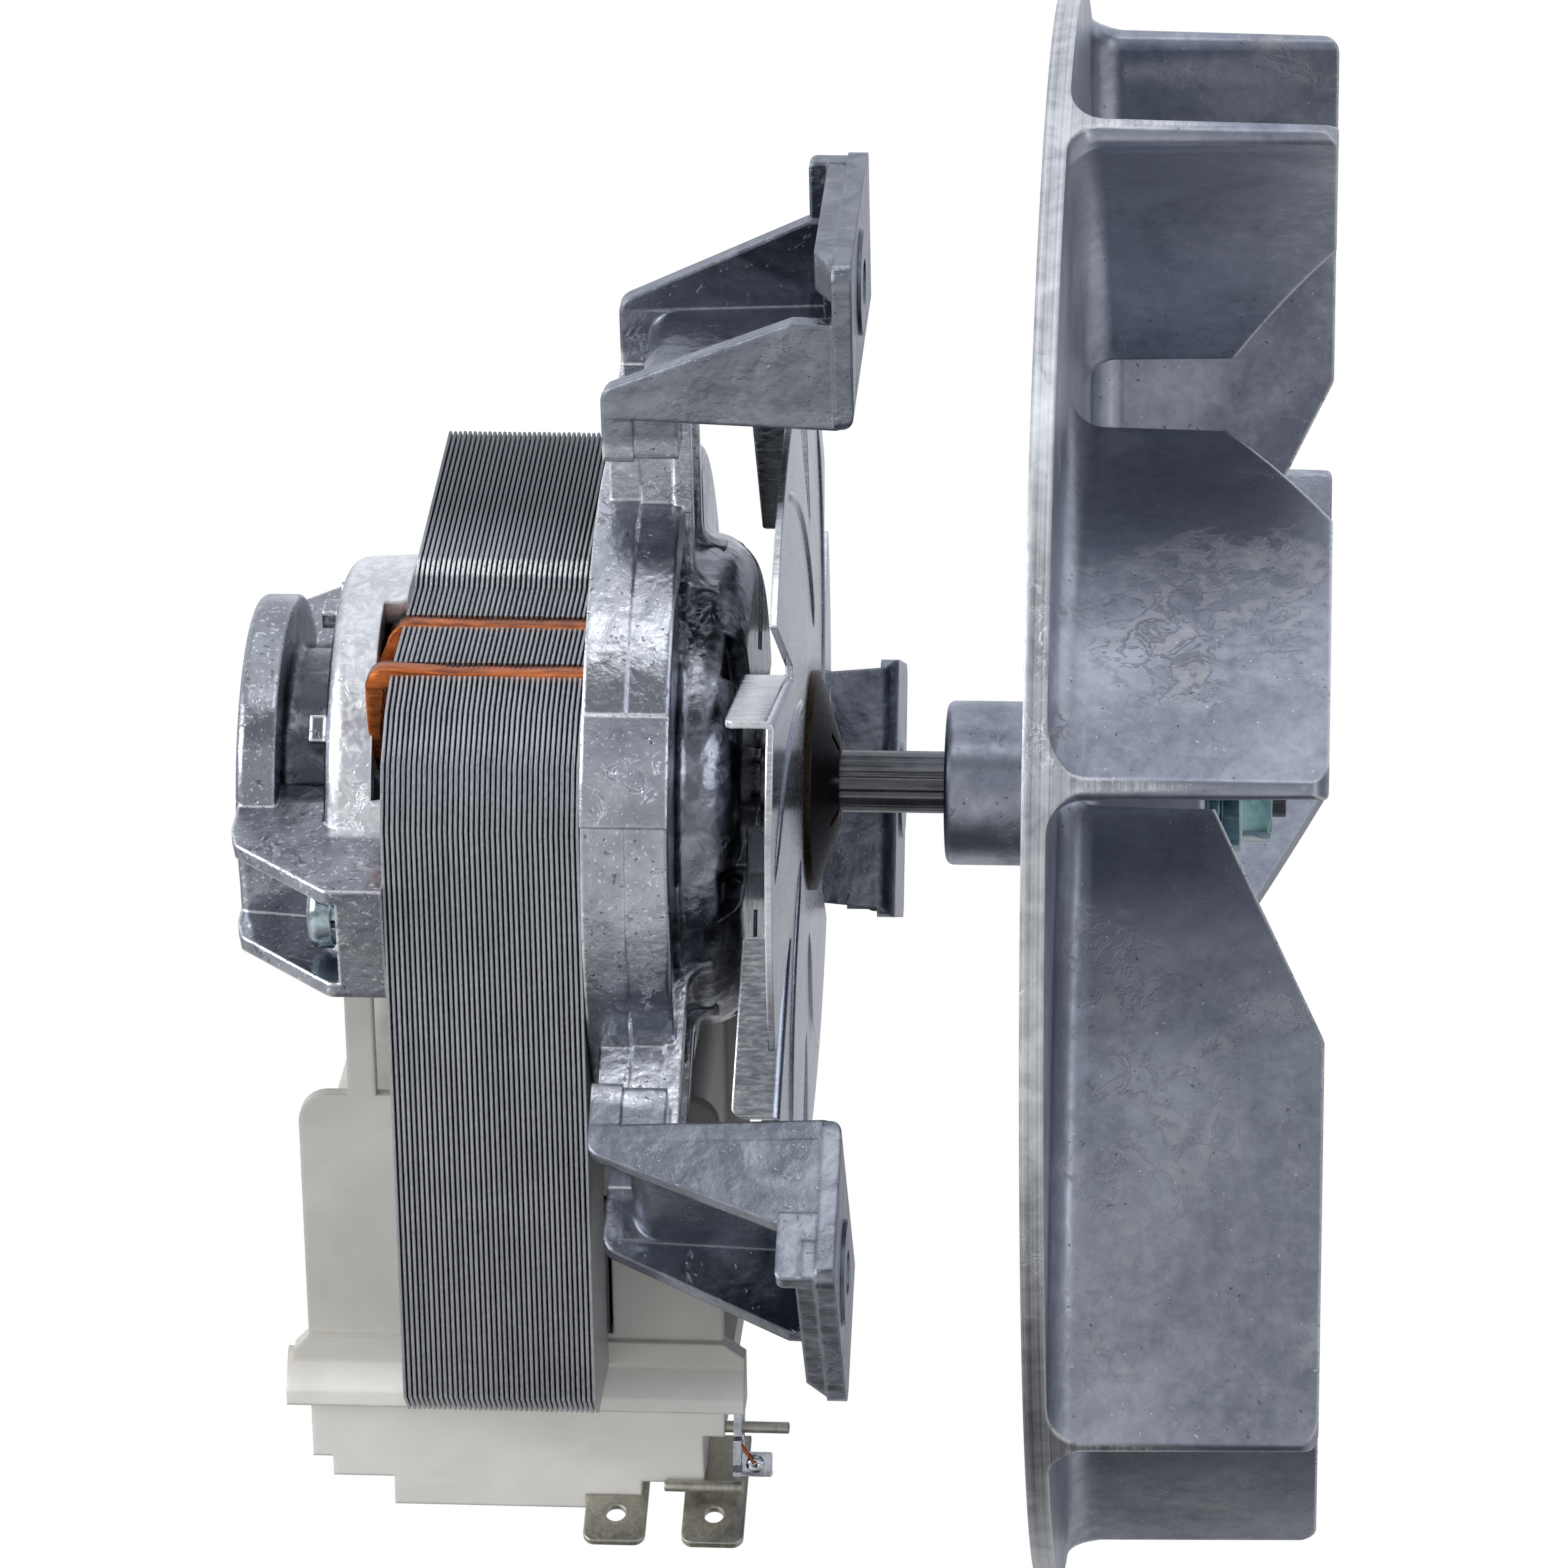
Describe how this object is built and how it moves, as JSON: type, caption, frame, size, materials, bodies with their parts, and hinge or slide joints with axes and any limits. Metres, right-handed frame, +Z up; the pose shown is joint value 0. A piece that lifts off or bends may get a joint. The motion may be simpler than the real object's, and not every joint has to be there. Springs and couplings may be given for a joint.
{
  "type": "fan motor",
  "caption": "Shaded-pole fan motor with a laminated core, cast end brackets on splayed mounting arms, a small cooling fan and a large cast bladed impeller.",
  "frame": {"origin": "on the shaft axis, in the plane of the mounting pads' front faces", "axes": "+X along the shaft towards the impeller, +Z up as pictured, -Y towards the side pictured"},
  "size_m": [0.107, 0.158, 0.158],
  "materials": {
    "cast_aluminium": "die cast, satin",
    "wheel_casting": "die cast, stained",
    "bright_sheet": "bright rolled",
    "lamination_steel": "stamped edges",
    "shaft_steel": "ground, darkened",
    "dark_spring_steel": "blued",
    "zinc_steel": "zinc plated",
    "tinned_brass": "tin plated",
    "copper": "lacquered",
    "bearing_bronze": "sintered",
    "former_nylon": "moulded, slightly stained",
    "washer_plastic": "moulded",
    "felt": "oiled felt"
  },
  "bodies": {
    "stator": {"stator_stack": "lamination_steel", "core_bar": "lamination_steel", "shading_rings_near": "copper", "shading_rings_far": "copper", "coil_former": "former_nylon", "coil_winding": "copper", "terminal_tab_rear": "tinned_brass", "terminal_tab_front": "tinned_brass", "winding_pins": "tinned_brass", "winding_lug": "tinned_brass", "front_bracket": "cast_aluminium", "rear_bracket": "cast_aluminium", "front_bearing": "bearing_bronze", "rear_bearing": "bearing_bronze", "front_bearing_clip": "dark_spring_steel", "rear_bearing_clip": "dark_spring_steel", "front_oil_felt": "felt", "rear_oil_felt": "felt", "clamp_screws": "zinc_steel", "spring_washers": "zinc_steel"},
    "rotor": {"shaft": "shaft_steel", "rotor_core": "lamination_steel", "rotor_cage": "cast_aluminium", "thrust_washer_front": "washer_plastic", "thrust_washer_rear": "washer_plastic", "fan_collar": "shaft_steel", "cooling_fan": "bright_sheet", "star_washer": "dark_spring_steel", "impeller": "wheel_casting", "impeller_washer": "zinc_steel", "impeller_nut": "zinc_steel"}
  },
  "joints": [
    {"name": "rotor_spin", "type": "hinge", "parent": "stator", "child": "rotor", "pos_m": [0, 0, 0], "axis": [1, 0, 0], "continuous": true}
  ]
}
